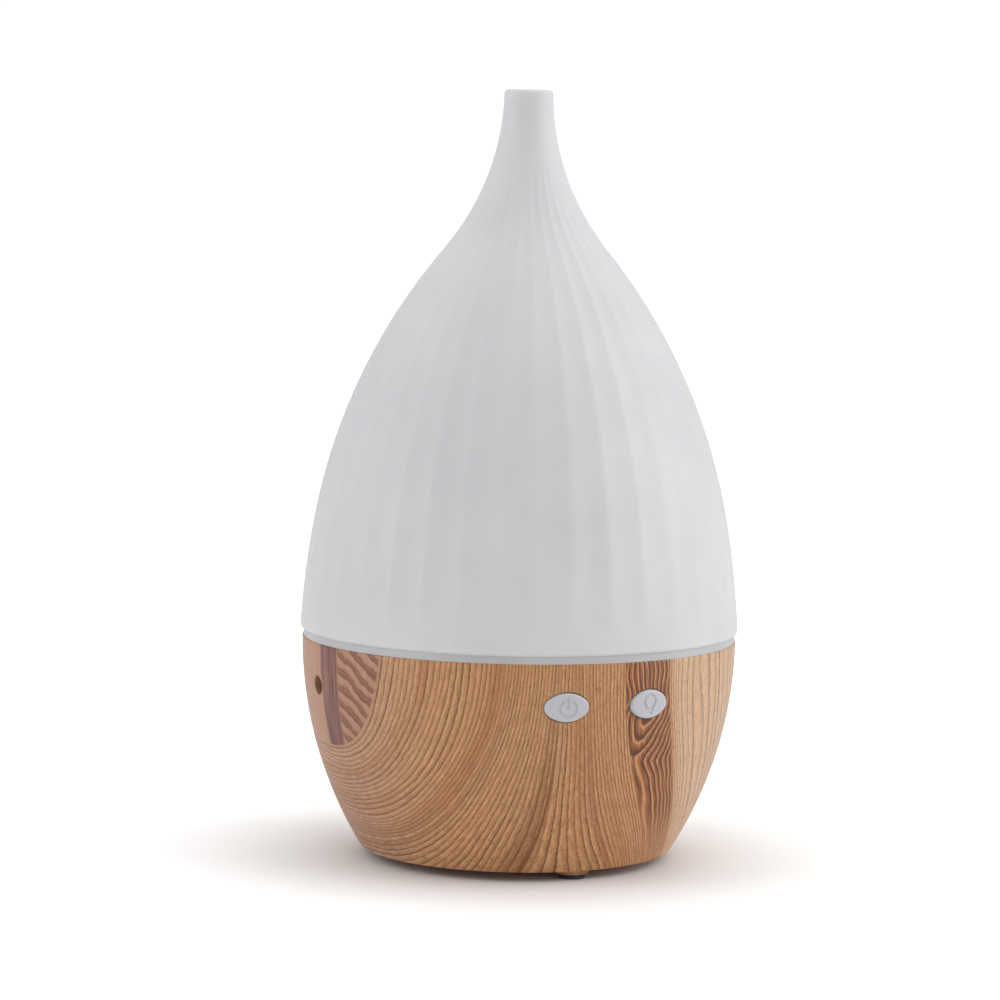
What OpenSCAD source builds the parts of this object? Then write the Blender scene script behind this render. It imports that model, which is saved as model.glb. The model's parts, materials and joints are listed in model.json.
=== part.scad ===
// Cool mist humidifier: a slim-necked teardrop cover on a wood-effect base. The water tank, mist disc,
// fan, lights and electronics are inside. Millimetres, +Z up. The origin is on the table, under the middle
// of the base. The buttons face -Y and the power inlet faces -X.

/* [Base] */
// Outside diameter of the base at its top edge
base_d = 110; // [109:0.25:111]
// Height of the base's top edge above the table
base_top = 56; // [55.5:0.25:57]
// Radius of the bulging side, seen from the side
base_bulge_r = 101; // [99:0.5:104]
// Height of the base's lower edge above the table
base_edge_z = 2.5; // [2.2:0.1:2.8]
// Wall thickness of the base
base_wall = 2.2; // [2:0.1:2.3]
// Thickness of the base's floor
floor_t = 2; // [1.8:0.1:2.2]

/* [Feet] */
// Distance of each foot from the middle
foot_r = 34.5; // [34:0.1:34.8]
// Diameter of each foot boss
boss_d = 8.8; // [8.2:0.1:9]
// Diameter of each rubber pad
pad_d = 6.5; // [6.2:0.1:6.8]
// Height of the rubber that shows below a boss
pad_show = 1.2; // [1:0.1:1.4]

/* [Cover] */
// Outside diameter of the mist cover at its lower edge
cover_d = 111.2; // [110.8:0.1:112]
// Wall thickness of the mist cover
cover_wall = 1.8; // [1.5:0.1:2]
// Height of the pale collar between base and cover
collar_h = 1.8; // [1.5:0.1:2.2]
// Diameter of the pale collar
collar_d = 109.4; // [109:0.1:109.8]
// Side radii of the cover: lower wall, shoulder and hollow neck
cover_radii = [218, 146.5, 62];
// Lean of the cover's side from upright, in degrees, at the lower edge and where each radius ends
cover_leans = [2.75, 10.4, 39.9, 0];

/* [Tank] */
// Inside radius of the water basin
basin_r = 39.5; // [38.5:0.1:39.8]
// Height of the basin's floor above the table
basin_floor = 25; // [24.6:0.1:25.4]
// Wall thickness of the tank
tank_wall = 1.8; // [1.6:0.1:2]
// Inside radius of the air duct
duct_r = 5; // [4:0.1:5.2]
// Height of the air duct's mouth
duct_top = 64; // [62:0.5:65]

/* [Buttons] */
// Half width of a button
button_a = 5.4; // [5.2:0.05:5.6]
// Half height of a button
button_b = 3.6; // [3.4:0.05:3.8]
// Distance of each button from the middle, to the side
button_x = 10.9; // [10.6:0.1:11.2]
// Height of the buttons and the power inlet
control_z = 45.5; // [45:0.1:46]
// Gap around each button
button_gap = 0.2; // [0.15:0.05:0.3]
// How far a button stands out of the base
button_proud = 0.7; // [0.5:0.1:1]

/* [Power inlet] */
// Radius of the hole in the base
inlet_r = 2.45; // [2.4:0.05:2.8]
// Radius of the socket's bore
jack_bore_r = 2.2; // [2:0.05:2.3]

/* [Hidden] */
$fn = 96;

// Base, derived
base_r = base_d / 2;
floor_low = base_edge_z + 0.7;
floor_top = floor_low + floor_t;
edge_r = base_r - base_bulge_r + sqrt(pow(base_bulge_r, 2) - pow(base_top - base_edge_z, 2));
edge_ring = 2.2;
ledge = [1.2, 1.2];
part_gap = 0.1;
foot_angles = [270, 30, 150];
boss_edge = 0.6;
pillar_top = 8;
collar_top = base_top + collar_h;
arc_lap = 0.01;

// Screws: [shank radius, head radius, head height]
base_screw = [1.45, 2.6, 1.9];
board_screw = [1.1, 2.1, 1.5];
fan_screw = [0.9, 1.9, 1.3];
retainer_screw = [0.95, 1.9, 1.4];
small_screw = [0.8, 1.6, 1];
hole_gap = 0.25;

// Tank, derived
corner_r = 4.8;
basin_out = basin_r + tank_wall;
basin_low = basin_floor - tank_wall;
post_r = 3.2;
base_screw_top = 16;
lip_top = base_top + 4;
spigot_r = 53.2;
spigot_wall = 1.6;
spigot_top = collar_top + 3.2;
skirt_h = 3.2;
skirt_gap = 0.4;
duct_pos = [0, 31, 0];
duct_wall = 1.5;
duct_low = basin_low - 1.2;
joint_gap = 0.05;

// Inner cover, derived
dome_r = 62;
dome_mid_z = collar_top - 37.8;
dome_wall = 1.6;
flange_in = 45;
flange_out = 50.3;
flange_t = 1.8;
chimney_r = 8;
chimney_top = collar_top + 44.2;

// Mist disc stack, from the seal's top down
disc_r = 10;
disc_t = 1.2;
window_r = 7.6;
stack_r = 15.5;
stack_low = basin_low - 3.7;
seal_r = 11.3;
seal_top = stack_low + 2;
seal_h = 3.4;
disc_z = seal_top - 2.1;
retainer_t = 2.8;
retainer_low = stack_low - retainer_t;
retainer_screw_r = 13.5;
retainer_angles = [90, 210, 330];

// Lights
led_ring_r = 20.5;
led_ring_w = 7;
led_board_z = basin_low - 2.8;
led_board_t = 1.2;
led_size = [3.5, 3.5, 1];
led_angles = [30, 90, 150, 210, 270, 330];
led_screw_angles = [60, 180, 300];

// Fan
fan_pos = [0, 18, 0];
fan_size = 30;
fan_h = 7;
fan_pitch = 24;
fan_bore_r = 14.2;
fan_pad_h = 1.5;
fan_z = floor_top + fan_pad_h;
fan_base_t = 1.2;
fan_flange_t = 2;
vent_r = 12.5;
vent_slot = 1.8;
vent_pitch = 3.4;
bearing_r = 2;
shaft_r = 0.75;
shaft_gap = 0.05;
core_r = 5.9;
magnet_r = 7.1;
hub_r = 7.7;
blade_tip_r = 13.6;
blade_count = 7;
blade_tilt = 38;

// Main board
board_size = [52, 26, 1.6];
board_mid = [0, -16];
board_z = floor_top + 4.3;
board_top = board_z + board_size[2];
board_holes = [[-22, -25], [22, -25], [-22, -7], [22, -7]];
socket_size = [6, 4.5, 4];
fan_socket = [-14, -5.5, 0];
disc_socket = [-4, -5.5, 0];
button_socket = [4, -26.5, 180];
jack_socket = [-23.5, -15, 90];
led_socket = [23.5, -16, -90];

// Buttons: each layer is a distance from the middle along -Y
button_back = 48.2;
switch_front = 47.4;
switch_depth = 3;
switch_size = 6;
plunger_r = 1.65;
switch_back = switch_front - switch_depth;
button_board_size = [38, 1.2, 12.4];
button_flange = 0.9;
button_end_r = 2.5;
icon_deep = 0.25;
icon_line = 0.36;
lug_x = 16.4;
lug_r = 2.2;

// Power inlet: each layer is a distance from the middle along -X
jack_front = 51.2;
jack_back = 43.3;
jack_size = 7;
jack_pin_r = 0.85;
jack_board_t = 1;
jack_board_size = [20, 10.5];
jack_lug_y = 7.6;

// Leads
lead_r = 0.5;
lead_pitch = 1.3;
lead_z = board_top + 2;
lead_end = socket_size[1] / 2 - 0.5;

// Colours
white_plastic = [0.93, 0.94, 0.95];
frosted = [0.88, 0.9, 0.92];
wood = [0.74, 0.55, 0.38];
steel = [0.75, 0.76, 0.78];
board_green = [0.1, 0.36, 0.2];
black_plastic = [0.1, 0.1, 0.11];
copper = [0.72, 0.42, 0.2];

// ---- Shapes in common ----

function normal_at(lean) = [cos(lean), sin(lean)];
function on_circle(r, a) = [r * cos(a), r * sin(a), 0];

// Centres of the cover's three side arcs and the points where they end
cover_p0 = [cover_d / 2, collar_top];
cover_c1 = cover_p0 - cover_radii[0] * normal_at(cover_leans[0]);
cover_p1 = cover_c1 + cover_radii[0] * normal_at(cover_leans[1]);
cover_c2 = cover_p1 - cover_radii[1] * normal_at(cover_leans[1]);
cover_p2 = cover_c2 + cover_radii[1] * normal_at(cover_leans[2]);
cover_c3 = cover_p2 + cover_radii[2] * normal_at(cover_leans[2]);
cover_p3 = cover_c3 - cover_radii[2] * normal_at(cover_leans[3]);

module band(width, low, high) {
    translate([0, low]) square([width, high - low]);
}

module tube(r_out, r_in, h) {
    difference() {
        cylinder(r = r_out, h = h);
        translate([0, 0, -1]) cylinder(r = r_in, h = h + 2);
    }
}

// A pin standing on its rounded lower edge
module soft_pin(r, h, edge) {
    rotate_extrude() {
        square([r - edge, h]);
        band(r, edge, h);
        translate([r - edge, edge]) circle(edge);
    }
}

// A screw pointing up, with the underside of its head at z = 0 and a cross recess below
module screw(size, length) {
    difference() {
        union() {
            cylinder(r = size[0], h = length);
            translate([0, 0, -size[2]]) cylinder(r = size[1], h = size[2]);
        }
        for (a = [0, 90])
            rotate(a) translate([-size[1] * 0.6, -0.25, -size[2] - 1]) cube([size[1] * 1.2, 0.5, 1.6]);
    }
}

// Half outline of the teardrop, moved inwards by inset. The middle arc runs a little way under its
// neighbours, so that the three join without a gap.
module teardrop(inset) {
    z1 = cover_p1[1] - inset * sin(cover_leans[1]);
    z2 = cover_p2[1] - inset * sin(cover_leans[2]);
    intersection() {
        translate(cover_c1) circle(cover_radii[0] - inset, $fn = 720);
        band(cover_d, collar_top, z1);
    }
    intersection() {
        translate(cover_c2) circle(cover_radii[1] - inset, $fn = 720);
        band(cover_d, z1 - arc_lap, z2 + arc_lap);
    }
    difference() {
        band(cover_c3[0], z2, cover_p3[1]);
        translate(cover_c3) circle(cover_radii[2] + inset, $fn = 720);
    }
}

// Half outline of the base's bulging side between two heights, moved inwards by inset
module base_outline(inset, low, high) {
    intersection() {
        translate([base_r - base_bulge_r, base_top]) circle(base_bulge_r - inset, $fn = 720);
        band(base_d, low, high);
    }
}

module base_solid(inset) {
    rotate_extrude() base_outline(inset, base_edge_z, base_top);
}

// An oval of four arcs
module oval(a, b) {
    r = button_end_r * b / button_b;
    big = (pow(a - r, 2) + b * b - r * r) / (2 * (b - r));
    reach = (a - r) * big / (big - r);
    intersection() {
        translate([0, big - b]) circle(big);
        translate([0, b - big]) circle(big);
        square([2 * reach, 4 * b], center = true);
    }
    for (side = [-1, 1]) translate([side * (a - r), 0]) circle(r);
}

// Carries a flat shape upright so that it faces -Y and runs from y = -far to y = -near
module facing_front(near, far) {
    translate([0, -near, control_z]) rotate([90, 0, 0]) linear_extrude(far - near) children();
}

// Carries a flat shape upright so that it faces -X and runs from x = -far to x = -near
module facing_left(near, far) {
    translate([-near, 0, control_z]) rotate([90, 0, -90]) linear_extrude(far - near) children();
}

module rounded_square(size, r) {
    square([size, size - 2 * r], center = true);
    square([size - 2 * r, size], center = true);
    for (x = [-1, 1], y = [-1, 1]) translate([x, y] * (size / 2 - r)) circle(r);
}

// ---- Leads ----

function cubic(a, b, c, d, t) =
    0.5 * (2 * b + (c - a) * t + (2 * a - 5 * b + 4 * c - d) * t * t + (3 * b - a - 3 * c + d) * t * t * t);
function along(p, steps) = [
    for (i = [0 : len(p) - 2], s = [0 : steps - 1])
        cubic(p[max(i - 1, 0)], p[i], p[i + 1], p[min(i + 2, len(p) - 1)], s / steps),
    p[len(p) - 1]
];
function unit(v) = v / norm(v);

// A round lead swept along a path. No stretch of the path runs along the side direction.
module lead(path, side) {
    sides = 6;
    rings = len(path);
    points = [
        for (i = [0 : rings - 1])
            let (
                forward = unit(path[min(i + 1, rings - 1)] - path[max(i - 1, 0)]),
                u = unit(cross(forward, side)),
                v = cross(forward, u)
            )
            for (k = [0 : sides - 1])
                path[i] + lead_r * (cos(360 * k / sides) * u + sin(360 * k / sides) * v)
    ];
    walls = [
        for (i = [0 : rings - 2], k = [0 : sides - 1])
            let (n = (k + 1) % sides)
            [i * sides + k, i * sides + n, (i + 1) * sides + n, (i + 1) * sides + k]
    ];
    first = [for (k = [sides - 1 : -1 : 0]) k];
    last = [for (k = [0 : sides - 1]) (rings - 1) * sides + k];
    polyhedron(points, concat(walls, [first, last]));
}

// Leads side by side along one route
module leads(route, side, count) {
    path = along(route, 4);
    for (k = [0 : count - 1]) {
        shift = (k - (count - 1) / 2) * lead_pitch * side;
        lead([for (p = path) p + shift], side);
    }
}

// ---- Casing ----

module mist_cover() {
    rim_r = cover_wall / 2;
    edge = 1;
    edge_mid = cover_d / 2 - edge * (1 + tan(cover_leans[0]));
    color(frosted) rotate_extrude() {
        difference() {
            teardrop(0);
            teardrop(cover_wall);
            band(cover_d, cover_p3[1] - rim_r, cover_p3[1] + 1);
            difference() {
                translate([edge_mid, collar_top]) square([2 * edge, edge]);
                translate([edge_mid, collar_top + edge]) circle(edge);
            }
        }
        intersection() {
            translate([cover_p3[0] - rim_r, cover_p3[1] - rim_r]) circle(rim_r);
            band(cover_d, cover_p3[1] - rim_r, cover_p3[1] + 1);
        }
    }
}

module inner_cover() {
    chimney_low = dome_mid_z + dome_r - 2;
    color(white_plastic) rotate_extrude() {
        difference() {
            intersection() {
                translate([0, dome_mid_z]) circle(dome_r, $fn = 360);
                band(dome_r, collar_top, chimney_top);
            }
            translate([0, dome_mid_z]) circle(dome_r - dome_wall, $fn = 360);
            band(chimney_r - dome_wall, collar_top, chimney_top);
        }
        translate([flange_in, collar_top]) square([flange_out - flange_in, flange_t]);
        translate([chimney_r - dome_wall, chimney_low]) square([dome_wall, chimney_top - chimney_low]);
    }
}

// Half outline of the basin, from its outer skin inwards
module basin(inset) {
    mid = [basin_out - corner_r, basin_low + corner_r];
    band(mid[0], basin_low + inset, mid[1]);
    band(basin_out - inset, mid[1], lip_top + inset);
    translate(mid) circle(corner_r - inset);
}

// Water basin with its collar, skirt, spigot, screw posts and the holder of the mist disc
module tank() {
    skirt_r = base_r - base_wall - skirt_gap;
    color(white_plastic) difference() {
        union() {
            rotate_extrude() {
                basin(0);
                translate([basin_r, base_top]) square([collar_d / 2 - basin_r, collar_h]);
                translate([skirt_r - tank_wall, base_top - skirt_h]) square([tank_wall, skirt_h]);
                translate([spigot_r - spigot_wall, base_top]) square([spigot_wall, spigot_top - base_top]);
                band(stack_r, stack_low, basin_floor);
            }
            for (a = foot_angles)
                translate(on_circle(foot_r, a)) translate([0, 0, pillar_top])
                    cylinder(r = post_r, h = basin_floor - 0.5 - pillar_top);
            for (a = led_screw_angles)
                translate(on_circle(led_ring_r, a)) translate([0, 0, led_board_z + led_board_t])
                    cylinder(r = 2, h = tank_wall * 2);
            for (x = [-lug_x, lug_x])
                translate([x, 0, 0]) facing_front(basin_out - 5, switch_back - button_board_size[1])
                    circle(lug_r);
            for (y = [-jack_lug_y, jack_lug_y])
                translate([0, y, 0]) facing_left(basin_out - 2, jack_back - jack_board_t) circle(lug_r);
        }
        rotate_extrude() {
            basin(tank_wall);
            band(window_r, stack_low - 1, basin_floor + 1);
            band(seal_r + 0.1, stack_low - 1, seal_top);
        }
        translate(duct_pos) translate([0, 0, basin_low - 1])
            cylinder(r = duct_r + duct_wall + joint_gap, h = corner_r);
        for (a = foot_angles)
            translate(on_circle(foot_r, a)) translate([0, 0, pillar_top - 1])
                cylinder(r = base_screw[0], h = base_screw_top + 1.5 - pillar_top);
        for (a = led_screw_angles)
            translate(on_circle(led_ring_r, a)) translate([0, 0, led_board_z])
                cylinder(r = small_screw[0], h = basin_floor - 0.8 - led_board_z);
        for (a = retainer_angles)
            translate(on_circle(retainer_screw_r, a)) translate([0, 0, stack_low - 1])
                cylinder(r = retainer_screw[0], h = 4.4);
        for (x = [-lug_x, lug_x])
            translate([x, 0, 0]) facing_front(basin_out - 2.8, switch_back) circle(small_screw[0]);
        for (y = [-jack_lug_y, jack_lug_y])
            translate([0, y, 0]) facing_left(basin_out - 1.5, jack_back) circle(small_screw[0]);
    }
}

// Chimney that carries the fan's air up through the water to above its surface
module air_duct() {
    color(white_plastic) translate(duct_pos) translate([0, 0, duct_low])
        tube(duct_r + duct_wall, duct_r, duct_top - duct_low);
}

// Wood-effect wall, open below, with the two button openings and the inlet hole
module base_shell() {
    color(wood) difference() {
        rotate_extrude() difference() {
            base_outline(0, base_edge_z, base_top);
            base_outline(base_wall, floor_top + ledge[1], base_top + 1);
            band(edge_r - edge_ring, base_edge_z - 1, floor_top);
            band(edge_r - edge_ring - ledge[0], floor_top - 1, floor_top + ledge[1] + 1);
            seam_cut(0.4);
        }
        for (a = foot_angles)
            translate(on_circle(foot_r, a)) cylinder(r = boss_d / 2 + part_gap, h = pillar_top);
        for (x = [-button_x, button_x])
            translate([x, 0, 0]) facing_front(base_r - 10, base_r + 5)
                oval(button_a + button_gap, button_b + button_gap);
        facing_left(base_r - 10, base_r + 5) circle(inlet_r);
    }
}

// Closes the shell from below: foot bosses, air slots under the fan, pads for the fan and the board
module bottom_cover() {
    color(wood) difference() {
        union() {
            translate([0, 0, floor_low]) cylinder(r = edge_r - edge_ring - part_gap, h = floor_t, $fn = 180);
            for (a = foot_angles)
                translate(on_circle(foot_r, a)) translate([0, 0, pad_show])
                    soft_pin(boss_d / 2, pillar_top - pad_show, boss_edge);
            for (p = board_holes)
                translate([p[0], p[1], floor_low]) cylinder(r = 2.6, h = board_z - floor_low);
            translate(fan_pos) {
                for (x = [-1, 1], y = [-1, 1])
                    translate([x * fan_pitch / 2, y * fan_pitch / 2, floor_low])
                        cylinder(r = 2.6, h = fan_z - floor_low);
                translate([0, 0, floor_low]) tube(fan_size / 2, fan_bore_r - 0.4, fan_z - floor_low);
            }
        }
        for (a = foot_angles) translate(on_circle(foot_r, a)) {
            cylinder(r = pad_d / 2 + 0.1, h = pad_show + 0.6);
            cylinder(r = base_screw[1] + 0.2, h = pad_show + 3);
            cylinder(r = base_screw[0] + hole_gap, h = pillar_top + 1);
        }
        for (p = board_holes)
            translate([p[0], p[1], floor_low + 1]) cylinder(r = board_screw[0], h = board_z);
        translate(fan_pos) {
            for (x = [-1, 1], y = [-1, 1])
                translate([x * fan_pitch / 2, y * fan_pitch / 2, floor_low + 0.7])
                    cylinder(r = fan_screw[0], h = fan_z);
            vents();
        }
    }
}

// Rounds the base's top edge, so that a thin shadow line shows below the collar
module seam_cut(r) {
    difference() {
        translate([base_r - r, base_top - r]) square(r + 1);
        translate([base_r - r, base_top - r]) circle(r);
    }
}

// Air slots in the floor below the fan
module vents() {
    linear_extrude(floor_top + 1) intersection() {
        circle(vent_r);
        for (k = [-3 : 3]) translate([k * vent_pitch, 0]) square([vent_slot, 3 * vent_r], center = true);
    }
}

module rubber_feet() {
    color([0.16, 0.16, 0.17]) for (a = foot_angles)
        translate(on_circle(foot_r, a)) soft_pin(pad_d / 2, pad_show + 0.6, 0.3);
}

module base_screws() {
    color(steel) for (a = foot_angles)
        translate(on_circle(foot_r, a)) translate([0, 0, pad_show + 3])
            screw(base_screw, base_screw_top - pad_show - 3);
}

// ---- Mist disc ----

module piezo_disc() {
    color([0.85, 0.82, 0.7]) translate([0, 0, disc_z]) cylinder(r = disc_r, h = disc_t);
}

module disc_seal() {
    color([0.82, 0.84, 0.84]) difference() {
        translate([0, 0, seal_top - seal_h]) tube(seal_r, window_r, seal_h);
        translate([0, 0, disc_z]) cylinder(r = disc_r, h = disc_t);
    }
}

module disc_retainer() {
    color(white_plastic) difference() {
        translate([0, 0, retainer_low]) tube(stack_r, window_r - 0.6, retainer_t);
        translate([0, 0, seal_top - seal_h]) cylinder(r = seal_r + 0.1, h = retainer_t);
        for (a = retainer_angles)
            translate(on_circle(retainer_screw_r, a)) cylinder(r = retainer_screw[0] + 0.15, h = 40);
    }
}

module retainer_screws() {
    color(steel) for (a = retainer_angles)
        translate(on_circle(retainer_screw_r, a)) translate([0, 0, retainer_low]) screw(retainer_screw, 6);
}

// ---- Lights ----

module led_board() {
    color(board_green) translate([0, 0, led_board_z]) difference() {
        tube(led_ring_r + led_ring_w / 2, led_ring_r - led_ring_w / 2, led_board_t);
        for (a = led_screw_angles)
            translate(on_circle(led_ring_r, a)) translate([0, 0, -1])
                cylinder(r = small_screw[0] + 0.2, h = 4);
    }
}

module leds() {
    color([0.98, 0.95, 0.7]) for (a = led_angles)
        rotate(a) translate([led_ring_r, 0, led_board_z + led_board_t + led_size[2] / 2])
            cube(led_size, center = true);
}

module led_board_screws() {
    color(steel) for (a = led_screw_angles)
        translate(on_circle(led_ring_r, a)) translate([0, 0, led_board_z]) screw(small_screw, 3.6);
}

// ---- Fan ----

module fan_place(z) {
    translate(fan_pos + [0, 0, fan_z + z]) children();
}

module fan_frame() {
    color(black_plastic) fan_place(0) {
        difference() {
            linear_extrude(fan_h) difference() {
                rounded_square(fan_size, 2.5);
                circle(fan_bore_r);
                for (x = [-1, 1], y = [-1, 1]) translate([x, y] * fan_pitch / 2) circle(1.5);
            }
            translate([0, 0, fan_flange_t]) linear_extrude(fan_h - 2 * fan_flange_t) difference() {
                square(fan_size + 2, center = true);
                circle(fan_bore_r + 1.4);
            }
        }
        tube(hub_r - 0.7, bearing_r, fan_base_t);
        tube(bearing_r + 0.7, bearing_r, fan_base_t + 4);
        for (a = [90, 210, 330])
            rotate(a) translate([hub_r - 1.2, -0.9, 0]) cube([fan_bore_r - hub_r + 1.5, 1.8, fan_base_t]);
    }
}

module fan_bearing() {
    color([0.8, 0.66, 0.35]) fan_place(0.1) tube(bearing_r, shaft_r + shaft_gap, fan_base_t + 3.8);
}

// One arm of the iron core, pointing along +X
module core_arm() {
    translate([2.9, -0.6]) square([2.4, 1.2]);
    intersection() {
        difference() {
            circle(core_r);
            circle(core_r - 0.7);
        }
        polygon([[0, 0], [10, -6], [10, 6]]);
    }
}

module fan_stator() {
    color(steel) fan_place(fan_base_t + 0.9) linear_extrude(2) {
        difference() {
            circle(bearing_r + 1.3);
            circle(bearing_r + 0.7);
        }
        for (a = [0, 90, 180, 270]) rotate(a) core_arm();
    }
}

module stator_coils() {
    color(copper) fan_place(fan_base_t + 0.4) for (a = [0, 90, 180, 270]) rotate(a) difference() {
        translate([3.6, -1.2, 0]) cube([1.3, 2.4, 3]);
        translate([3, -0.6, 0.5]) cube([3, 1.2, 2]);
    }
}

module fan_rotor() {
    top = 6.8;
    color(black_plastic) {
        fan_place(0) difference() {
            union() {
                translate([0, 0, top - 0.9]) cylinder(r = hub_r, h = 0.9);
                translate([0, 0, 1.9]) tube(hub_r, magnet_r, top - 2);
                translate([0, 0, top - 1.5]) cylinder(r = 1.6, h = 1);
            }
            translate([0, 0, 1]) cylinder(r = shaft_r, h = 5.5);
        }
        fan_place(0) intersection() {
            translate([0, 0, 1.7]) tube(blade_tip_r, hub_r - 0.2, top - 2.1);
            for (k = [0 : blade_count - 1])
                rotate(360 * k / blade_count) translate([hub_r - 0.5, 0, 4])
                    rotate([blade_tilt, 0, 0]) translate([0, -0.4, -5]) cube([8, 0.8, 10]);
        }
    }
}

module rotor_magnet() {
    color([0.25, 0.24, 0.24]) fan_place(2.1) tube(magnet_r, magnet_r - 0.7, 3.6);
}

module fan_shaft() {
    color(steel) fan_place(1.3) cylinder(r = shaft_r, h = 5.2);
}

module fan_screws() {
    color(steel) fan_place(fan_h) for (x = [-1, 1], y = [-1, 1])
        translate([x * fan_pitch / 2, y * fan_pitch / 2, 0]) rotate([180, 0, 0])
            screw(fan_screw, fan_h + fan_z - floor_low - 0.8);
}

// ---- Main board ----

module main_board() {
    color(board_green) translate([board_mid[0], board_mid[1], board_z]) difference() {
        translate([-board_size[0] / 2, -board_size[1] / 2, 0]) cube(board_size);
        for (p = board_holes)
            translate([p[0] - board_mid[0], p[1] - board_mid[1], -1])
                cylinder(r = board_screw[0] + 0.3, h = 5);
    }
}

module control_chip() {
    color(black_plastic) translate([-3, -15, board_top + 0.2]) translate([-5, -2, 0]) cube([10, 4, 1.5]);
    color(steel) translate([-3, -15, board_top]) for (k = [-3.5 : 3.5], side = [-1, 1])
        translate([k * 1.27 - 0.2, side * 2.5 - 0.5, 0]) cube([0.4, 1, 0.6]);
}

module drive_coil() {
    color(copper) translate([8.5, -20, board_top]) {
        for (z = [0, 5]) translate([0, 0, z]) cylinder(r = 4, h = 1);
        cylinder(r = 3.3, h = 6);
    }
}

// A can capacitor with a pressed groove near its foot
module can(r, h) {
    difference() {
        cylinder(r = r, h = h);
        translate([0, 0, 1.2]) tube(r + 1, r - 0.25, 0.6);
    }
}

module capacitors() {
    color([0.2, 0.24, 0.4]) {
        translate([-16, -21, board_top]) can(3.15, 7.5);
        translate([-8, -24, board_top]) can(2.5, 6.5);
        translate([1, -20.5, board_top]) can(2, 5);
    }
}

module drive_transistor() {
    color(black_plastic) translate([13, -19.2, board_top + 1]) cube([7, 2.6, 6]);
    color(steel) for (k = [-1 : 1]) translate([16.5 + 2.3 * k - 0.35, -18.2, board_top]) cube([0.7, 0.6, 1]);
}

module heat_sink() {
    color([0.7, 0.71, 0.73]) translate([12.5, -16.6, board_top]) {
        cube([8, 1.2, 7.5]);
        for (k = [0 : 3]) translate([k * 7 / 3, 0, 0]) cube([1, 4.6, 7.5]);
    }
}

// Side-entry sockets. Each opens along +Y before it is turned.
module board_sockets() {
    color([0.92, 0.9, 0.84]) for (s = [fan_socket, disc_socket, button_socket, jack_socket, led_socket])
        translate([s[0], s[1], board_top]) rotate(s[2]) difference() {
            translate([-socket_size[0] / 2, -socket_size[1] / 2, 0]) cube(socket_size);
            translate([-socket_size[0] / 2 + 0.8, socket_size[1] / 2 - 0.6, 0.8])
                cube([socket_size[0] - 1.6, 2, socket_size[2] - 1.6]);
        }
}

module board_screws() {
    color(steel) for (p = board_holes)
        translate([p[0], p[1], board_top]) rotate([180, 0, 0])
            screw(board_screw, board_top - floor_low - 1.5);
}

// ---- Buttons ----

module power_icon() {
    r = 1.35;
    difference() {
        circle(r + icon_line / 2);
        circle(r - icon_line / 2);
        translate([-0.55, 0]) square([1.1, 3]);
    }
    translate([-icon_line / 2, 0.3]) square([icon_line, 1.5]);
}

module lamp_icon() {
    r = 1.15;
    difference() {
        translate([0, 0.45]) circle(r + icon_line / 2);
        translate([0, 0.45]) circle(r - icon_line / 2);
        translate([-0.5, -3]) square([1, 3]);
    }
    for (side = [-1, 1]) translate([side * 0.5 - icon_line / 2, -1.1]) square([icon_line, 0.6]);
    for (z = [-1.2, -1.75]) translate([-0.68, z]) square([1.36, icon_line * 0.8]);
}

// An oval button whose face follows the base, with its mark sunk into the face. The collar behind the
// wall keeps it from falling out.
module button(x) {
    difference() {
        intersection() {
            translate([x, 0, 0]) facing_front(button_back, base_r + 5) oval(button_a, button_b);
            base_solid(-button_proud);
        }
        difference() {
            translate([x, 0, 0]) facing_front(button_back, base_r + 5) children();
            base_solid(icon_deep - button_proud);
        }
    }
    intersection() {
        translate([x, 0, 0]) facing_front(button_back, base_r)
            oval(button_a + button_flange, button_b + button_flange);
        base_solid(base_wall + 0.4);
    }
}

module power_button() {
    color([0.9, 0.93, 0.97]) button(-button_x) power_icon();
}

module light_button() {
    color([0.9, 0.93, 0.97]) button(button_x) lamp_icon();
}

module plunger(x) {
    color([0.85, 0.8, 0.7]) translate([x, 0, 0]) facing_front(switch_front - 0.7, button_back)
        circle(plunger_r);
}

module power_plunger() {
    plunger(-button_x);
}

module light_plunger() {
    plunger(button_x);
}

module switch_bodies() {
    color(black_plastic) for (x = [-button_x, button_x]) translate([x, 0, 0]) difference() {
        facing_front(switch_back, switch_front) square(switch_size, center = true);
        facing_front(switch_front - 1.4, switch_front + 1) circle(plunger_r + 0.1);
    }
}

module button_board() {
    color(board_green) difference() {
        facing_front(switch_back - button_board_size[1], switch_back)
            square([button_board_size[0], button_board_size[2]], center = true);
        for (x = [-lug_x, lug_x])
            translate([x, 0, 0]) facing_front(switch_back - 5, switch_back + 1) circle(small_screw[0] + 0.2);
    }
}

module button_board_screws() {
    color(steel) for (x = [-lug_x, lug_x])
        translate([x, -switch_back, control_z]) rotate([-90, 0, 0]) screw(small_screw, 5);
}

// ---- Power inlet ----

module jack_board() {
    color(board_green) difference() {
        facing_left(jack_back - jack_board_t, jack_back) square(jack_board_size, center = true);
        for (y = [-jack_lug_y, jack_lug_y])
            translate([0, y, 0]) facing_left(jack_back - 5, jack_back + 1) circle(small_screw[0] + 0.2);
    }
}

module dc_jack() {
    color(black_plastic) difference() {
        facing_left(jack_back, jack_front) rounded_square(jack_size, 0.8);
        facing_left(jack_back + 1.2, jack_front + 1) circle(jack_bore_r);
        facing_left(jack_back - 1, jack_front) circle(jack_pin_r);
    }
}

module jack_pin() {
    color(steel) translate([-jack_back, 0, control_z]) rotate([0, -90, 0]) {
        cylinder(r = jack_pin_r, h = 6);
        translate([0, 0, 6]) sphere(jack_pin_r);
    }
}

module jack_contact() {
    color([0.8, 0.66, 0.35]) translate([-jack_front + 1.6, -0.6, control_z - 2])
        cube([jack_front - jack_back - 2.8, 1.2, 0.3]);
}

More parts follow.
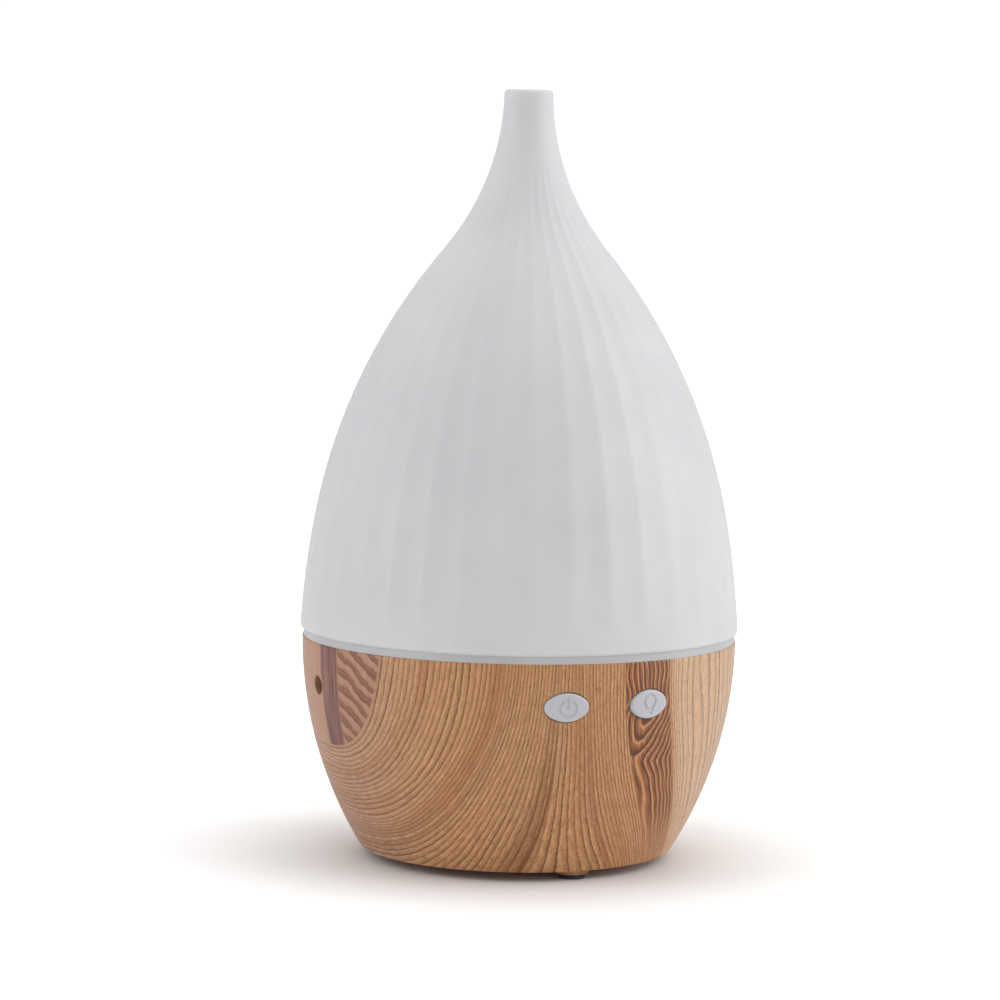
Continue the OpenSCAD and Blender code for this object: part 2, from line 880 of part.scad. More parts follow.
module jack_board_screws() {
    color(steel) for (y = [-jack_lug_y, jack_lug_y])
        translate([-jack_back, y, control_z]) rotate([0, 90, 0]) screw(small_screw, 3);
}

// ---- Internal leads ----

module jack_leads() {
    color([0.75, 0.1, 0.1]) leads([
        [-jack_back - 0.6, 0, control_z - 4.6], [-46, 0, 36], [-44, -3, 26], [-38, -10, 18], [-31, -15, 13.5],
        [jack_socket[0] - lead_end, jack_socket[1], lead_z]
    ], [0, 1, 0], 2);
}

module fan_leads() {
    color([0.1, 0.1, 0.12]) leads([
        [-15.6, 8, fan_z + 4], [-18, 5, 12], [-18, 1, 13.5], [-14.5, -1.5, 13.3],
        [fan_socket[0], fan_socket[1] + lead_end, lead_z]
    ], [0, 0, 1], 2);
}

module disc_leads() {
    color([0.85, 0.85, 0.2]) leads([
        [-4, 1.6, disc_z - 0.7], [-4, 2, 16.8], [-4, 1.2, 14.6], [-4, -1.2, 13.3],
        [disc_socket[0], disc_socket[1] + lead_end, lead_z]
    ], [1, 0, 0], 2);
}

module led_leads() {
    color([0.9, 0.9, 0.92]) leads([
        [21, 3, led_board_z - 1.3], [25, 1, 18], [30, -6, 15.5], [30, -14, 13.5],
        [led_socket[0] + lead_end, led_socket[1], lead_z]
    ], [0, 0, 1], 2);
}

module button_leads() {
    color([0.2, 0.3, 0.7]) leads([
        [0, -switch_back - 0.6, control_z - 5], [2, -46.5, 36], [6, -44.5, 27], [9, -38.5, 17],
        [7, -33.5, 13.8], [button_socket[0], button_socket[1] - lead_end, lead_z]
    ], [1, 0, 0], 3);
}

mist_cover();
inner_cover();
tank();
air_duct();
base_shell();
bottom_cover();
rubber_feet();
base_screws();
piezo_disc();
disc_seal();
disc_retainer();
retainer_screws();
led_board();
leds();
led_board_screws();
fan_frame();
fan_bearing();
fan_stator();
stator_coils();
fan_rotor();
rotor_magnet();
fan_shaft();
fan_screws();
main_board();
control_chip();
drive_coil();
capacitors();
drive_transistor();
heat_sink();
board_sockets();
board_screws();
button_board();
switch_bodies();
power_plunger();
light_plunger();
power_button();
light_button();
button_board_screws();
jack_board();
dc_jack();
jack_pin();
jack_contact();
jack_board_screws();
jack_leads();
fan_leads();
disc_leads();
led_leads();
button_leads();
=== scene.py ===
"""A cool mist humidifier's looks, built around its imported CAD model. Blender 4.5, metres."""
import json
import math

import bmesh
import bpy
import numpy as np
from mathutils import Matrix, Vector


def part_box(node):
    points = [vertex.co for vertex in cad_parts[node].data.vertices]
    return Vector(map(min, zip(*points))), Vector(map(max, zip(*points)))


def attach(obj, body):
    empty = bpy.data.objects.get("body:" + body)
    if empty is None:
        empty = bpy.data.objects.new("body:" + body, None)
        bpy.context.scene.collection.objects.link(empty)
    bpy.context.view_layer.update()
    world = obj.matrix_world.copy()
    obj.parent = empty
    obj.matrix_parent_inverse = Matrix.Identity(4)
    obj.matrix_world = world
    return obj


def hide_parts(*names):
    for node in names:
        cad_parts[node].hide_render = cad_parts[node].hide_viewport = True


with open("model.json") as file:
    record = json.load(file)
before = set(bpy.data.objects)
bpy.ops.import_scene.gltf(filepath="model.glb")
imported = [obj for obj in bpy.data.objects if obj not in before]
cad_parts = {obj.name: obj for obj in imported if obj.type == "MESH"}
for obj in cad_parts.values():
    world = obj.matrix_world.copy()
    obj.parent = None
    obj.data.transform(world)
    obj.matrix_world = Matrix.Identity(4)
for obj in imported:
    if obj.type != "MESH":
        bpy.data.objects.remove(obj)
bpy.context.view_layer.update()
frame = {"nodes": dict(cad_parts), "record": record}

MM = 0.001
COVER_LOW, COVER_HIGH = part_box("mist_cover")
SHELL_LOW, SHELL_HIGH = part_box("base_shell")
BUTTONS = {"power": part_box("power_button"), "light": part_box("light_button")}
INLET = next(m for m in frame["record"]["mounts"] if m["name"] == "power_inlet")

# ---------------------------------------------------------------- mesh helpers


def smoothstep(x, low, high):
    t = np.clip((x - low) / (high - low), 0, 1)
    return t * t * (3 - 2 * t)


def make_mesh(name, vertices, faces, body, smooth_under=40):
    """A mesh piece that rides on a CAD body, smooth except at edges sharper than an angle."""
    mesh = bpy.data.meshes.new(name)
    mesh.from_pydata([tuple(v) for v in vertices], [], faces)
    mesh.validate()
    mesh.shade_smooth()
    mesh.set_sharp_from_angle(angle=math.radians(smooth_under))
    piece = bpy.data.objects.new(name, mesh)
    bpy.context.scene.collection.objects.link(piece)
    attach(piece, body)
    return piece


def lathe_grid(rows, columns):
    """Quads of a closed loop of rows turned all the way round."""
    faces = []
    for i in range(rows):
        for j in range(columns):
            here, above = i * columns, (i + 1) % rows * columns
            beside = (j + 1) % columns
            faces.append((here + j, here + beside, above + beside, above + j))
    return faces


def arc(centre, radius, start, end, steps):
    """Points of an arc in the (r, z) plane, between two angles in degrees."""
    angles = np.radians(np.linspace(start, end, steps + 1))
    return np.stack([centre[0] + radius * np.cos(angles), centre[1] + radius * np.sin(angles)], 1)


def front_angle(x, y):
    """Degrees round the object from the front, positive towards +X."""
    return np.degrees(np.arctan2(x, -y))


# ---------------------------------------------------------------- the fluted cover

WALL = 1.8 * MM
COVER_R = 55.6 * MM
# The side is three tangent arcs: their radii, and how far it leans inwards, in degrees, where they meet.
COVER_ARCS = [218 * MM, 146.5 * MM, 62 * MM]
COVER_LEANS = [2.75, 10.4, 39.9, 0]
FOOT_ROUND = 1.0 * MM
INNER_START = 0.3 * MM
FLUTES = 36
FLUTE_DEPTH = 0.36 * MM
FLUTE_COLUMNS = 12
# The heights between which the flutes fade in above the seam, and fade out under the neck.
FLUTES_IN = (61 * MM, 70 * MM)
FLUTES_OUT = (160 * MM, 178 * MM)


def teardrop(inset):
    """The cover's side from its lower edge to the lip, moved inwards by inset."""
    lean = [math.radians(a) for a in COVER_LEANS]
    r, z = COVER_R, COVER_LOW.z
    points = []
    for k, radius in enumerate(COVER_ARCS):
        side = 1 if COVER_LEANS[k + 1] > COVER_LEANS[k] else -1
        mid_r = r - side * radius * math.cos(lean[k])
        mid_z = z - side * radius * math.sin(lean[k])
        steps = max(12, round(radius * abs(lean[k + 1] - lean[k]) / MM))
        for a in np.linspace(lean[k], lean[k + 1], steps + 1)[(1 if k else 0):]:
            reach = side * radius - inset
            points.append((mid_r + reach * math.cos(a), mid_z + reach * math.sin(a)))
        r = mid_r + side * radius * math.cos(lean[k + 1])
        z = mid_z + side * radius * math.sin(lean[k + 1])
    return np.array(points)


def fluted_cover():
    """The frosted cover: a thin teardrop wall with shallow flutes on its outside and a round lip."""
    outer, inner = teardrop(0), teardrop(WALL)
    lip_mid = ((outer[-1] + inner[-1]) / 2)[0]
    low, lip_z = COVER_LOW.z, COVER_HIGH.z - WALL / 2
    outer = outer[(outer[:, 1] < lip_z) & (outer[:, 1] > low + FOOT_ROUND)]
    inner = inner[(inner[:, 1] < lip_z) & (inner[:, 1] > low + INNER_START)]
    lip = arc((lip_mid, lip_z), WALL / 2, 0, 180, 12)
    foot = arc((outer[0][0] - FOOT_ROUND, low + FOOT_ROUND), FOOT_ROUND, -90, -3, 8)
    profile = np.concatenate([foot, outer, lip, inner[::-1], [[inner[0][0], low]]])
    columns = FLUTES * FLUTE_COLUMNS
    turn = np.arange(columns) / columns * 2 * math.pi
    place = (turn * FLUTES / (2 * math.pi)) % 1 - 0.5
    scallop = 0.75 * (1 - (2 * place) ** 2) + 0.25 * (0.5 + 0.5 * np.cos(2 * math.pi * place))
    r, z = profile[:, 0], profile[:, 1]
    outside = np.arange(len(profile)) < len(foot) + len(outer)
    depth = FLUTE_DEPTH * np.sqrt(np.clip(r / COVER_R, 0, 1)) * outside
    depth = depth * smoothstep(z, *FLUTES_IN) * (1 - smoothstep(z, *FLUTES_OUT))
    radius = r[:, None] - depth[:, None] * scallop[None, :]
    x = radius * np.sin(turn)
    y = -radius * np.cos(turn)
    vertices = np.stack([x, y, np.repeat(z[:, None], columns, 1)], 2).reshape(-1, 3)
    faces = lathe_grid(len(profile), columns)
    piece = make_mesh("fluted_cover", vertices, faces, "mist_cover")
    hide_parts("mist_cover")
    return piece


# ---------------------------------------------------------------- the wood-effect shell

BULGE_R = 101 * MM
SHELL_WALL = 2.2 * MM
EDGE_RING = 2.2 * MM
LEDGE = 1.2 * MM
TOP_ROUND = 0.4 * MM
SHELL_R = SHELL_HIGH.x
BULGE_MID = SHELL_R - BULGE_R
SHELL_FLOOR = 2.7 * MM
SHELL_COLUMNS = 360
# The buttons' oval: its half axes, the radius of its ends, and the gap round it.
OVAL_A, OVAL_B = 5.4 * MM, 3.6 * MM
OVAL_END = 2.5 * MM
HOLE_GAP = 0.2 * MM
# The cutters for the holes start inside the wall and end outside it.
CUTTER_START, CUTTER_LENGTH = 45 * MM, 15 * MM
# The bottom cover's foot bosses reach out through notches in the shell's lower edge.
BOSS_ANGLES = (0, 120, 240)
BOSS_AWAY = 34.5 * MM
NOTCH_R, NOTCH_TOP = 4.5 * MM, 5.5 * MM


def shell_radius(z, inset=0.0):
    """The shell's outer radius at a height, or that of a surface set in from it."""
    return BULGE_MID + np.sqrt((BULGE_R - inset) ** 2 - (SHELL_HIGH.z - z) ** 2)


def oval_outline(a, b, steps):
    """Points round an oval of four arcs, half axes a and b, evenly spread."""
    end = OVAL_END * b / OVAL_B
    big = ((a - end) ** 2 + b * b - end * end) / (2 * (b - end))
    meet = math.degrees(math.atan2(big - b, a - end))
    right = arc((a - end, 0), end, -meet, meet, 40)
    top = arc((0, b - big), big, meet, 180 - meet, 40)
    loop = np.concatenate([right[:-1], top[:-1], -right[:-1], -top[:-1]])
    closed = np.vstack([loop, loop[:1]])
    gap = np.linalg.norm(np.diff(closed, axis=0), axis=1)
    along = np.concatenate([[0], np.cumsum(gap)])
    want = np.linspace(0, along[-1], steps, endpoint=False)
    return np.stack([np.interp(want, along, closed[:, k]) for k in (0, 1)], 1)


def prism(outline, start, direction, length):
    """A closed prism: a flat outline in the plane across direction, pushed along it."""
    direction = Vector(direction)
    turn = direction.to_track_quat("Z", "Y").to_matrix()
    flat = [turn @ Vector((p[0], p[1], 0)) for p in outline]
    near = [Vector(start) + p for p in flat]
    far = [p + direction * length for p in near]
    n = len(outline)
    faces = [tuple(range(n))[::-1], tuple(range(n, 2 * n))]
    faces += [(i, (i + 1) % n, (i + 1) % n + n, i + n) for i in range(n)]
    mesh = bpy.data.meshes.new("cutter")
    mesh.from_pydata([tuple(v) for v in near + far], [], faces)
    return mesh


def cut(piece, cutters):
    """Takes each cutter's mesh out of the piece."""
    for mesh in cutters:
        tool = bpy.data.objects.new("cutter", mesh)
        bpy.context.scene.collection.objects.link(tool)
        step = piece.modifiers.new("cut", "BOOLEAN")
        step.object = tool
        step.solver = "EXACT"
        step.operation = "DIFFERENCE"
        bpy.context.view_layer.update()
        graph = bpy.context.evaluated_depsgraph_get()
        result = bpy.data.meshes.new_from_object(piece.evaluated_get(graph))
        piece.modifiers.clear()
        piece.data = result
        bpy.data.objects.remove(tool)


def button_middle(name):
    low, high = BUTTONS[name]
    return (low.x + high.x) / 2, (low.z + high.z) / 2


def wood_shell():
    """The wood-effect cup: a turned wall with a ledge for the bottom cover, then its holes."""
    top, low = SHELL_HIGH.z, SHELL_LOW.z
    floor_top = low + SHELL_FLOOR
    z_out = np.linspace(low, top - TOP_ROUND, 56)
    outer = np.stack([shell_radius(z_out), z_out], 1)
    rounding = arc((SHELL_R - TOP_ROUND, top - TOP_ROUND), TOP_ROUND, 0, 90, 5)[1:]
    z_in = np.linspace(top, floor_top + LEDGE, 50)
    inner = np.stack([shell_radius(z_in, SHELL_WALL), z_in], 1)
    ring = outer[0][0] - EDGE_RING
    ledge = [
        [ring - LEDGE, floor_top + LEDGE],
        [ring - LEDGE, floor_top],
        [ring, floor_top],
        [ring, low],
    ]
    profile = np.concatenate([outer, rounding, inner, ledge])
    turn = np.arange(SHELL_COLUMNS) / SHELL_COLUMNS * 2 * math.pi
    x = profile[:, 0][:, None] * np.sin(turn)
    y = -profile[:, 0][:, None] * np.cos(turn)
    z = np.repeat(profile[:, 1][:, None], SHELL_COLUMNS, 1)
    vertices = np.stack([x, y, z], 2).reshape(-1, 3)
    faces = lathe_grid(len(profile), SHELL_COLUMNS)
    piece = make_mesh("wood_shell", vertices, faces, "root", 30)
    cutters = []
    outline = oval_outline(OVAL_A + HOLE_GAP, OVAL_B + HOLE_GAP, 96)
    for name in BUTTONS:
        x_mid, z_mid = button_middle(name)
        cutters.append(prism(outline, (x_mid, -CUTTER_START, z_mid), (0, -1, 0), CUTTER_LENGTH))
    hole = arc((0, 0), INLET["dims"]["r_mm"] * MM, 0, 360, 64)[:-1]
    inlet_start = (-CUTTER_START, 0, INLET["pos_m"][2])
    cutters.append(prism(hole, inlet_start, (-1, 0, 0), CUTTER_LENGTH))
    notch = arc((0, 0), NOTCH_R, 0, 360, 48)[:-1]
    for a in BOSS_ANGLES:
        turned = Matrix.Rotation(math.radians(a), 4, "Z") @ Vector((0, -BOSS_AWAY, low - MM))
        cutters.append(prism(notch, turned, (0, 0, 1), NOTCH_TOP + MM))
    cut(piece, cutters)
    piece.data.set_sharp_from_angle(angle=math.radians(30))
    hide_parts("base_shell")
    return piece


# The print's grain lines sweep round a centre at the upper left. Each line is a quarter of a
# superellipse, in millimetres of the unrolled surface: how far round from the front, and how high.
MEAN_R = 51.6
SWEEP_MID = (-79, 65)
SWEEP_POWER = 2.5
# The film repeats as a mirror image at this many degrees from the front.
MIRROR_ANGLE = 68
# Towards the right the lines lean further round the lower they run.
LEAN_RATE = 0.0075
LEAN_BETWEEN = (-30, 20)
# A line's distance from the centre is found by halving an interval, and counted in small steps.
ACROSS_RANGE = (2.0, 400.0)
HALVINGS = 40
COUNT_STEP, COUNT_END = 0.25, 420


def sweep_drop(across):
    """How far below the sweep's centre a grain line ends that starts this far from it."""
    return 17 + 0.73 * across + 0.006 * np.maximum(across - 50, 0) ** 3


def line_spacing(across):
    """The grain's pitch: wide inside the sweep, fine in the middle, wide again at the right."""
    wide = 1.5 - 0.72 * smoothstep(across, 44, 56)
    return wide + 2.0 * smoothstep(across, 97, 101)


def paint_grain(piece):
    """Stores the grain's own coordinates on each point: across the lines, their phase, along them."""
    mesh = piece.data
    co = np.zeros(len(mesh.vertices) * 3, np.float32)
    mesh.vertices.foreach_get("co", co)
    co = co.reshape(-1, 3).astype(float)
    angle = front_angle(co[:, 0], co[:, 1])
    folded = MIRROR_ANGLE - np.abs((angle - MIRROR_ANGLE + 180) % 360 - 180)
    s = np.radians(folded) * MEAN_R
    z = co[:, 2] / MM
    s = s - LEAN_RATE * np.maximum(SHELL_HIGH.z / MM - z, 0) ** 2 * smoothstep(s, *LEAN_BETWEEN)
    # Points past the sweep's centre are held just short of it, so the mirrored lines meet smoothly.
    dx, dz = np.maximum(s - SWEEP_MID[0], 0.01), SWEEP_MID[1] - z
    low, high = (np.full(len(s), limit) for limit in ACROSS_RANGE)
    for _ in range(HALVINGS):
        mid = (low + high) / 2
        beyond = (dx / mid) ** SWEEP_POWER + (dz / sweep_drop(mid)) ** SWEEP_POWER > 1
        low, high = np.where(beyond, mid, low), np.where(beyond, high, mid)
    drop = sweep_drop(low)
    steps = np.arange(0, COUNT_END, COUNT_STEP)
    phase = np.concatenate([[0], np.cumsum(COUNT_STEP / line_spacing(steps))])[:-1]
    along = np.arctan2(dz / drop, (s - SWEEP_MID[0]) / low) * drop
    fields = {
        "grain_across": low,
        "grain_phase": np.interp(low, steps, phase),
        "grain_along": along,
        "print_round": s,
    }
    for name, values in fields.items():
        layer = mesh.attributes.new(name, "FLOAT", "POINT")
        layer.data.foreach_set("value", np.asarray(values, np.float32))


# ---------------------------------------------------------------- the buttons

BUTTON_PROUD = 0.7 * MM
BUTTON_ROUND = 0.9 * MM
# The key's side stops this far in front of the CAD button's inner end.
SIDE_STOP = 0.9 * MM
BUTTON_RINGS, BUTTON_COLUMNS = 44, 192
ICON_DEEP = 0.3 * MM
ICON_LINE = 0.6 * MM


def segment_gap(p, a, b):
    """Distance of points from the stretch between a and b."""
    a, b = np.array(a), np.array(b)
    t = np.clip(((p - a) @ (b - a)) / ((b - a) @ (b - a)), 0, 1)
    return np.linalg.norm(p - a - t[:, None] * (b - a), axis=1)


def ring_gap(p, centre, radius, start, end):
    """Distance of points from an arc that runs between two angles in degrees."""
    rel = p - np.array(centre)
    angle = (np.degrees(np.arctan2(rel[:, 1], rel[:, 0])) - start) % 360
    on_arc = np.abs(np.linalg.norm(rel, axis=1) - radius)
    ends = arc(centre, radius, start, end, 1)
    off_arc = np.min([np.linalg.norm(p - tip, axis=1) for tip in ends], axis=0)
    return np.where(angle <= (end - start) % 360, on_arc, off_arc)


def power_icon(p):
    """Distance of points from the strokes of the power symbol."""
    loop = ring_gap(p, (0, -0.2 * MM), 2.0 * MM, 125, 415)
    return np.minimum(loop, segment_gap(p, (0, -0.1 * MM), (0, 2.2 * MM)))


def lamp_icon(p):
    """Distance of points from the strokes of a plain lamp: bulb, neck, cap and base."""
    gaps = [
        ring_gap(p, (0, 0.7 * MM), 1.6 * MM, -50, 230),
        segment_gap(p, (-1.03 * MM, -0.53 * MM), (-0.8 * MM, -1.4 * MM)),
        segment_gap(p, (1.03 * MM, -0.53 * MM), (0.8 * MM, -1.4 * MM)),
        segment_gap(p, (-0.8 * MM, -1.4 * MM), (0.8 * MM, -1.4 * MM)),
        segment_gap(p, (-0.6 * MM, -2.1 * MM), (0.6 * MM, -2.1 * MM)),
    ]
    return np.min(gaps, axis=0)


def button_face(name, icon):
    """A crowned oval key with a rounded edge, a sunk mark and a straight side through the shell."""
    x_mid, z_mid = button_middle(name)
    rings, columns = BUTTON_RINGS, BUTTON_COLUMNS
    rim = oval_outline(OVAL_A, OVAL_B, columns)
    share = np.linspace(0.02, 1, rings)
    p = (share[:, None, None] * rim[None]).reshape(-1, 2)
    edge_gap = (1 - np.repeat(share, columns)) * (OVAL_A + OVAL_B) / 2
    t = np.clip(edge_gap / BUTTON_ROUND, 0, 1)
    proud = BUTTON_PROUD * (0.2 + 0.8 * np.sqrt(1 - (1 - t) ** 2))
    proud -= ICON_DEEP * (1 - smoothstep(icon(p), ICON_LINE * 0.3, ICON_LINE * 0.75))
    x, z = x_mid + p[:, 0], z_mid + p[:, 1]
    y = -np.sqrt(shell_radius(z) ** 2 - x ** 2) - proud
    back = BUTTONS[name][1].y - SIDE_STOP
    side = np.stack([x[-columns:], np.full(columns, back), z[-columns:]], 1)
    middle = [[x_mid, -math.sqrt(shell_radius(z_mid) ** 2 - x_mid ** 2) - BUTTON_PROUD, z_mid]]
    vertices = np.vstack([np.stack([x, y, z], 1), side, middle])
    faces = []
    for i in range(rings):
        inner, outer = i * columns, (i + 1) * columns
        for j in range(columns):
            n = (j + 1) % columns
            faces.append((inner + j, outer + j, outer + n, inner + n))
    hub = len(vertices) - 1
    faces += [(hub, j, (j + 1) % columns) for j in range(columns)]
    faces.append(tuple(rings * columns + j for j in range(columns)))
    piece = make_mesh(name + "_key", vertices, faces, name + "_button", 50)
    flip_outwards(piece)
    return piece


def flip_outwards(piece):
    """Turns every face of a closed piece to look outwards."""
    work = bmesh.new()
    work.from_mesh(piece.data)
    bmesh.ops.recalc_face_normals(work, faces=work.faces)
    work.to_mesh(piece.data)
    work.free()


# ---------------------------------------------------------------- materials


class Look:
    """A node material under construction: one Principled shader and helpers that add nodes to it."""

    def __init__(self, name, **values):
        self.material = bpy.data.materials.new(name)
        self.material.use_nodes = True
        self.tree = self.material.node_tree
        self.shader = next(n for n in self.tree.nodes if n.type == "BSDF_PRINCIPLED")
        for key, value in values.items():
            self.shader.inputs[key.replace("_", " ")].default_value = value

    def add(self, kind, inputs=None, **settings):
        node = self.tree.nodes.new("ShaderNode" + kind)
        for key, value in settings.items():
            setattr(node, key, value)
        for key, value in (inputs or {}).items():
            self.feed(node.inputs[key], value)
        return node

    def feed(self, socket, value):
        if isinstance(value, bpy.types.NodeSocket):
            self.tree.links.new(value, socket)
        elif isinstance(value, tuple) and len(value) == 3 and socket.type == "RGBA":
            socket.default_value = (*value, 1)
        else:
            socket.default_value = value

    def math(self, operation, a, b=0.0, c=0.0):
        return self.add("Math", {0: a, 1: b, 2: c}, operation=operation).outputs[0]

    def product(self, a, b):
        return self.math("MULTIPLY", a, b)

    def total(self, a, b):
        return self.math("ADD", a, b)

    def stored(self, name):
        return self.add("Attribute", attribute_name=name).outputs["Fac"]

    def place(self):
        return self.add("TexCoord").outputs["Object"]

    def noise(self, vector, scale, detail=3.0, roughness=0.55, distortion=0.0):
        inputs = {"Vector": vector, "Scale": scale, "Detail": detail, "Roughness": roughness,
                  "Distortion": distortion}
        return self.add("TexNoise", inputs).outputs["Fac"]

    def flat_noise(self, a, a_rate, b, b_rate, detail, roughness=0.55):
        """Noise over two coordinates, each with its own number of patches per unit."""
        spot = self.add("CombineXYZ", {0: self.product(a, a_rate), 1: self.product(b, b_rate)})
        return self.noise(spot.outputs[0], 1.0, detail, roughness)

    def ramp(self, value, *stops):
        """Stops are (place, colour or grey)."""
        node = self.add("ValToRGB", {"Fac": value})
        marks = node.color_ramp.elements
        while len(marks) < len(stops):
            marks.new(0.5)
        for mark, (where, colour) in zip(marks, stops):
            mark.position = where
            mark.color = (*colour, 1) if isinstance(colour, tuple) else (colour, colour, colour, 1)
        return node.outputs["Color"]

    def span(self, value, low, high, to_low=0.0, to_high=1.0):
        """Carries low..high over to to_low..to_high with a soft start and end."""
        inputs = {"Value": value, "From Min": low, "From Max": high,
                  "To Min": to_low, "To Max": to_high}
        return self.add("MapRange", inputs, interpolation_type="SMOOTHSTEP").outputs[0]

    def mix(self, share, a, b):
        node = self.add("Mix", data_type="RGBA")
        self.feed(node.inputs["Factor"], share)
        self.feed(node.inputs[6], a)
        self.feed(node.inputs[7], b)
        return node.outputs[2]

    def finish(self, colour, roughness, bump=None, bump_depth=0.0):
        self.feed(self.shader.inputs["Base Color"], colour)
        self.feed(self.shader.inputs["Roughness"], roughness)
        if bump is not None:
            node = self.add("Bump", {"Height": bump, "Distance": bump_depth, "Strength": 1.0})
            self.feed(self.shader.inputs["Normal"], node.outputs[0])
        return self.material


def srgb(r, g, b):
    """A screen colour of 0 to 255 as the linear colour that a shader takes."""
    return tuple(((c / 255 + 0.055) / 1.055) ** 2.4 if c > 10 else c / 255 / 12.92 for c in (r, g, b))


def moulded(name, light, dark, roughness, grain=0.00002, **values):
    """Moulded plastic: fine spark texture, slow tone changes and faint rub marks."""
    look = Look(name, **values)
    place = look.place()
    slow = look.noise(place, 35.0, 2.0)
    fine = look.noise(place, 900.0, 4.0, 0.6)
    scuff = look.span(look.noise(place, 160.0, 5.0, 0.7, 1.5), 0.55, 0.75)
    colour = look.mix(look.span(slow, 0.3, 0.7), light, dark)
    texture = look.span(fine, 0.2, 0.8, roughness - 0.06, roughness + 0.06)
    return look.finish(colour, look.total(look.product(scuff, 0.1), texture), fine, grain)


def frosted_plastic():
    """The cover's white frosted plastic, with a faint mottle and a few specks."""
    look = Look("frosted_cover", IOR=1.46, Subsurface_Weight=0.35, Subsurface_Scale=0.004)
    look.shader.inputs["Subsurface Radius"].default_value = (1.0, 0.95, 0.9)
    place = look.place()
    slow = look.noise(place, 18.0, 2.0)
    mottle = look.noise(place, 120.0, 3.0, 0.5)
    frost = look.noise(place, 2600.0, 3.0, 0.6)
    colour = look.mix(look.span(slow, 0.3, 0.7), srgb(227, 227, 229), srgb(218, 218, 221))
    colour = look.mix(look.span(mottle, 0.45, 0.8, 0.0, 0.25), colour, srgb(213, 213, 215))
    speck = look.span(look.noise(place, 1500.0, 0.0), 0.84, 0.9, 0.0, 0.25)
    colour = look.mix(speck, colour, srgb(186, 186, 190))
    rough = look.span(mottle, 0.2, 0.8, 0.48, 0.58)
    return look.finish(colour, rough, frost, 0.00001)


# Darker bands along the grain: distance from the sweep's centre, half width (both in mm), strength.
GRAIN_BANDS = ((53.6, 1.2, 0.3), (55.8, 0.9, 0.4), (66.0, 1.4, 0.45), (67.0, 0.3, 0.95), (73.5, 0.6, 0.35))


def wood_print():
    """The printed wood figure, drawn from the grain coordinates that paint_grain stores."""
    look = Look("wood_print", IOR=1.5, Coat_Weight=0.1, Coat_Roughness=0.32)
    across, phase = look.stored("grain_across"), look.stored("grain_phase")
    along, turned = look.stored("grain_along"), look.stored("print_round")
    height = look.math("DIVIDE", look.add("SeparateXYZ", {0: look.place()}).outputs[2], MM)

    def streaks(across_rate, along_rate, detail=3.0, roughness=0.6):
        return look.flat_noise(across, across_rate, along, along_rate, detail, roughness)

    fibre, pores = streaks(3.2, 0.3, 4.0, 0.7), streaks(5.5, 1.1, 2.0)
    tone, bands = streaks(0.5, 0.012), streaks(0.16, 0.01, 2.0)
    shifted = look.total(phase, look.product(streaks(0.08, 0.02, 1.0), 3.0))
    shifted = look.total(shifted, look.product(streaks(1.2, 0.3), 0.3))
    saw = look.math("FRACT", shifted)
    number = {"W": look.math("FLOOR", shifted)}
    each = look.add("TexWhiteNoise", number, noise_dimensions="1D").outputs["Value"]
    line = look.ramp(saw, (0.0, 0.1), (0.55, 0.08), (0.76, 0.4), (0.86, 1.0), (0.93, 1.0), (1.0, 0.1))
    weight = look.product(line, look.span(each, 0.0, 1.0, 0.55, 1.0))
    weight = look.product(weight, look.span(pores, 0.3, 0.6, 0.55, 1.1))

    side, pale = look.span(turned, -75.0, -35.0), look.span(turned, 15.0, 19.0)
    early = look.mix(side, srgb(204, 157, 124), srgb(216, 158, 104))
    early = look.mix(pale, early, srgb(230, 194, 160))
    late = look.mix(side, srgb(132, 78, 48), srgb(140, 84, 42))
    late = look.mix(pale, late, srgb(170, 118, 82))
    colour = look.mix(look.span(tone, 0.35, 0.7, 0.0, 0.45), early, look.mix(0.45, early, late))
    colour = look.mix(weight, colour, look.mix(0.8, late, srgb(76, 38, 14)))
    bright = look.ramp(saw, (0.0, 0.0), (0.12, 0.45), (0.3, 0.35), (0.5, 0.0))
    colour = look.mix(bright, colour, look.mix(side, srgb(226, 182, 148), srgb(240, 192, 142)))
    band = look.product(look.span(bands, 0.5, 0.66, 0.0, 0.4), look.math("SUBTRACT", 1.0, pale))
    colour = look.mix(band, colour, srgb(176, 112, 56))
    low_down = look.span(height, 52.0, 20.0, 0.25, 1.0)
    for centre, width, strength in GRAIN_BANDS:
        gap = look.math("ABSOLUTE", look.math("SUBTRACT", across, centre))
        share = look.product(look.span(gap, width, width * 0.2, 0.0, strength), low_down)
        colour = look.mix(share, colour, srgb(136, 78, 34))
    colour = look.mix(look.span(fibre, 0.4, 0.68, 0.0, 0.5), colour, late)
    colour = look.mix(look.span(fibre, 0.42, 0.28, 0.0, 0.3), colour, srgb(236, 192, 144))
    colour = look.mix(look.span(pores, 0.58, 0.7, 0.0, 0.62), colour, srgb(92, 52, 26))
    colour = strip_figure(look, colour, turned, height)
    colour = knot_patch(look, colour, across, turned, height)
    rough = look.span(fibre, 0.2, 0.8, 0.38, 0.48)
    return look.finish(colour, rough, look.total(fibre, pores), 0.000008)


# The dark strip's edges, and the heights its arches hang between, in mm round and up the shell.
STRIP_LEFT, STRIP_RIGHT = (3.4, 3.9), (16.8, 15.6)
ARCH_TOP, ARCH_DEPTH = 47.0, 14.5


